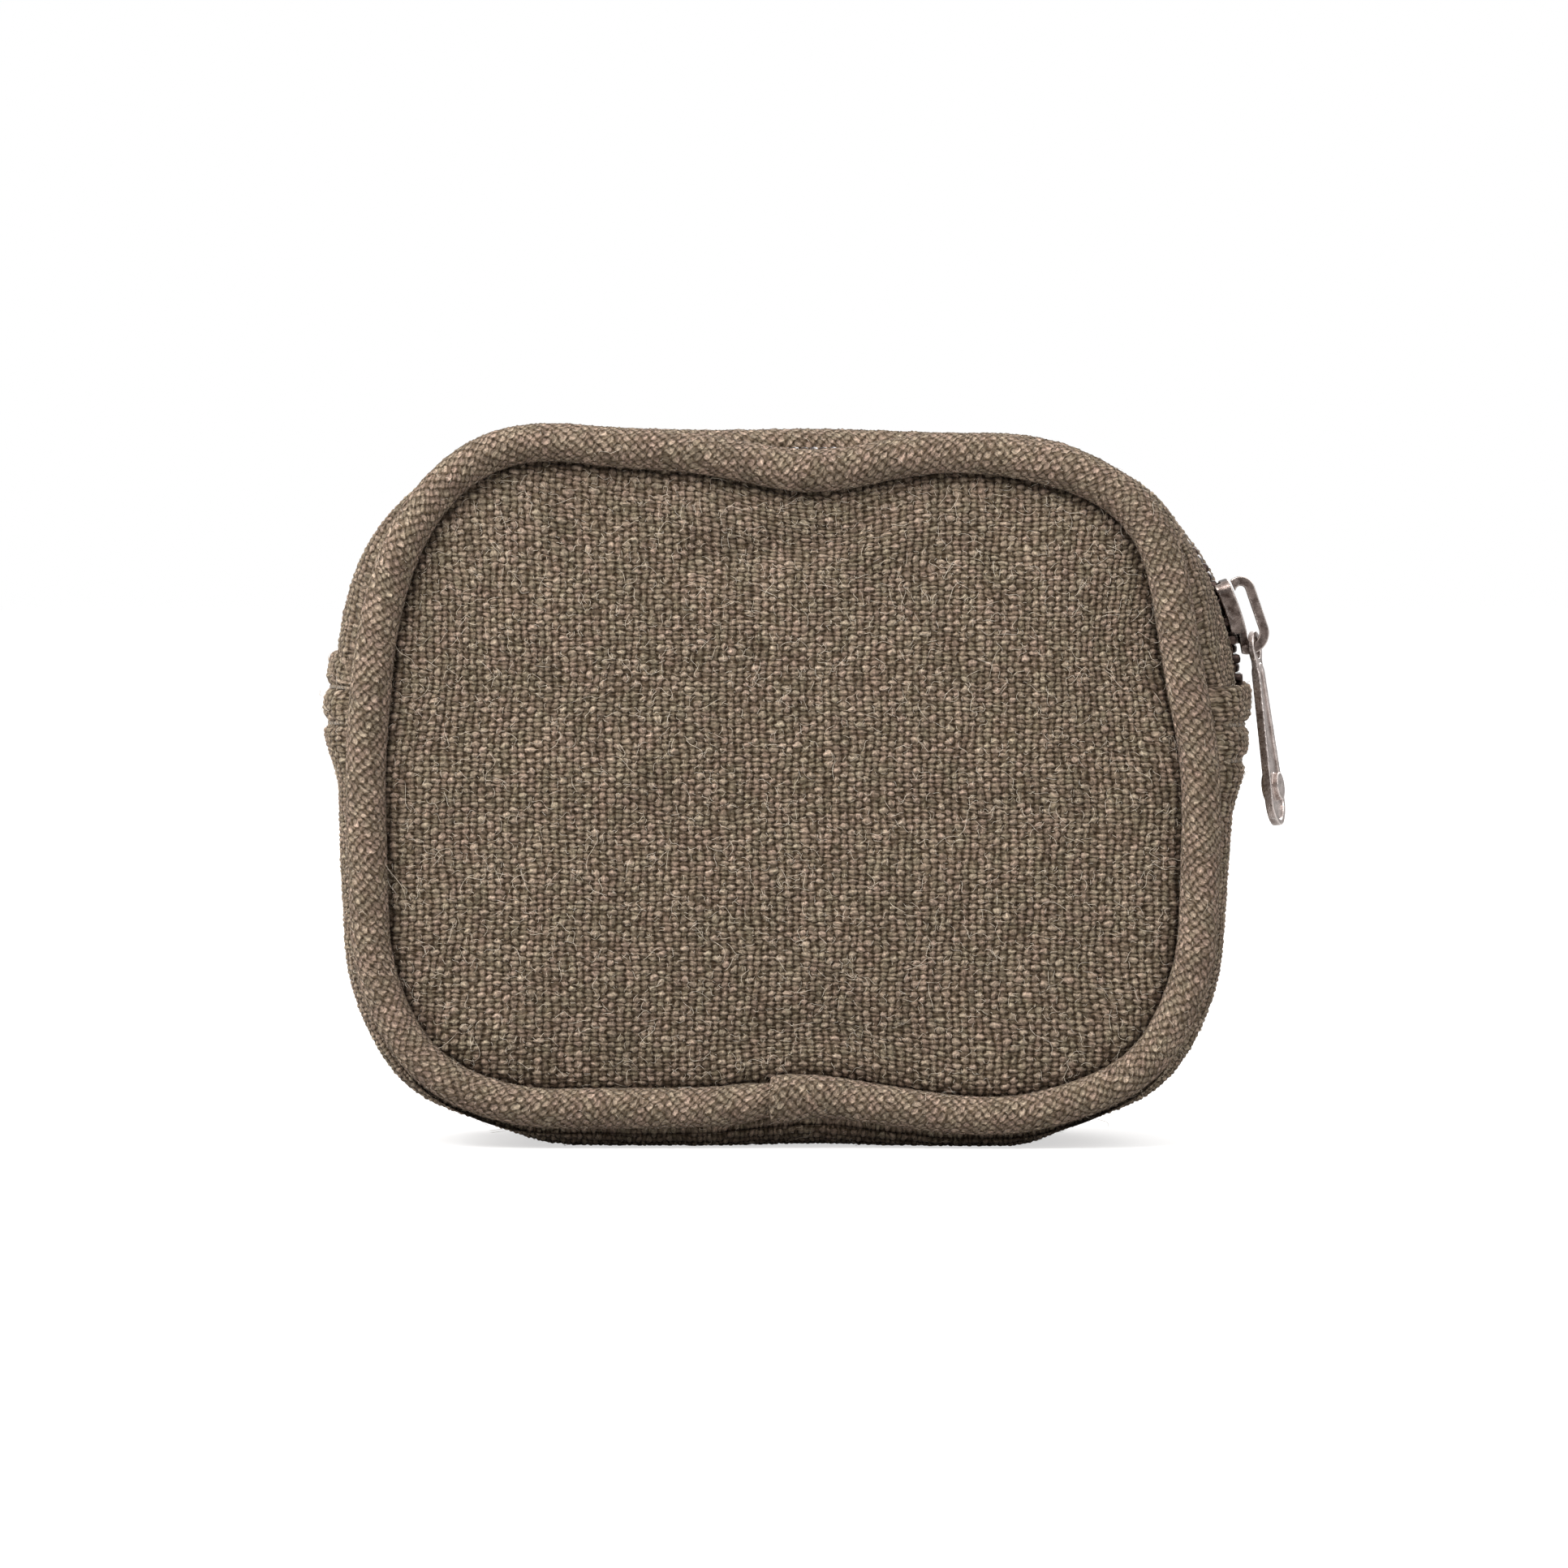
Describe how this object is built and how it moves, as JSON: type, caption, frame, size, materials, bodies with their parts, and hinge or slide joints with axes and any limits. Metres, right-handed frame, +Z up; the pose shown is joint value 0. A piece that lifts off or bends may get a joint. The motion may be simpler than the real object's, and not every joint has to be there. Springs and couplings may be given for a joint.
{
  "type": "zip-topped treat pouch",
  "caption": "Small canvas pouch with piped edges, a curved metal zip over the top that opens for the hand, and a belt loop on the back",
  "frame": {"origin": "centre of the flat base that the pouch stands on, midway between the two piped faces", "axes": "+Z up, -Y out of the front panel, +X to the wearer's left and the viewer's right, along the pouch's length"},
  "size_m": [0.1257, 0.0478, 0.0934],
  "materials": {
    "canvas": "heavy plain-woven taupe canvas with slubs and loose fibres",
    "filler_cord": "twisted cotton cord",
    "lining_cloth": "fine dark plain-weave lining",
    "zip_tape": "brown herringbone zip tape",
    "thread": "taupe spun polyester sewing thread",
    "teeth_metal": "dark antiqued metal, worn bright at the edges",
    "slider_metal": "antique nickel, dark in the recesses and bright on the edges",
    "puller_metal": "antique nickel with a warm pale sheen"
  },
  "bodies": {
    "pouch_body": {"front_panel": "canvas", "rear_panel": "canvas", "front_piping_cover": "canvas", "rear_piping_cover": "canvas", "lower_gusset": "canvas", "front_strip_ends": "canvas", "rear_strip_ends": "canvas", "belt_loop": "canvas", "front_piping_cord": "filler_cord", "rear_piping_cord": "filler_cord", "front_lining": "lining_cloth", "rear_lining": "lining_cloth", "gusset_lining": "lining_cloth", "front_tape_ends": "zip_tape", "rear_tape_ends": "zip_tape", "tab_stitching": "thread", "end_stitching": "thread", "loop_stitching": "thread", "front_teeth_ends": "teeth_metal", "rear_teeth_ends": "teeth_metal", "bottom_stop": "teeth_metal", "top_stops": "teeth_metal"},
    "front_lip": {"front_strip_lip": "canvas", "front_tape_lip": "zip_tape", "front_teeth_lip": "teeth_metal", "front_lip_stitching": "thread"},
    "rear_lip": {"rear_strip_lip": "canvas", "rear_tape_lip": "zip_tape", "rear_teeth_lip": "teeth_metal", "rear_lip_stitching": "thread"},
    "slider": {"slider_body": "slider_metal"},
    "puller": {"puller": "puller_metal"}
  },
  "joints": [
    {"name": "front_lip_open", "type": "hinge", "parent": "pouch_body", "child": "front_lip", "pos_m": [0, -0.015, 0.0894], "axis": [1, 0, 0], "range_deg": [0, 75]},
    {"name": "rear_lip_open", "type": "hinge", "parent": "pouch_body", "child": "rear_lip", "pos_m": [0, 0.015, 0.0894], "axis": [-1, 0, 0], "range_deg": [0, 75]},
    {"name": "slider_travel", "type": "hinge", "parent": "pouch_body", "child": "slider", "pos_m": [0.028, 0, 0.0588], "axis": [0, -1, 0], "range_deg": [0, 59]},
    {"name": "puller_swing", "type": "hinge", "parent": "slider", "child": "puller", "pos_m": [0.06078, 0, 0.06647], "axis": [0, -1, 0], "range_deg": [0, 95]}
  ]
}
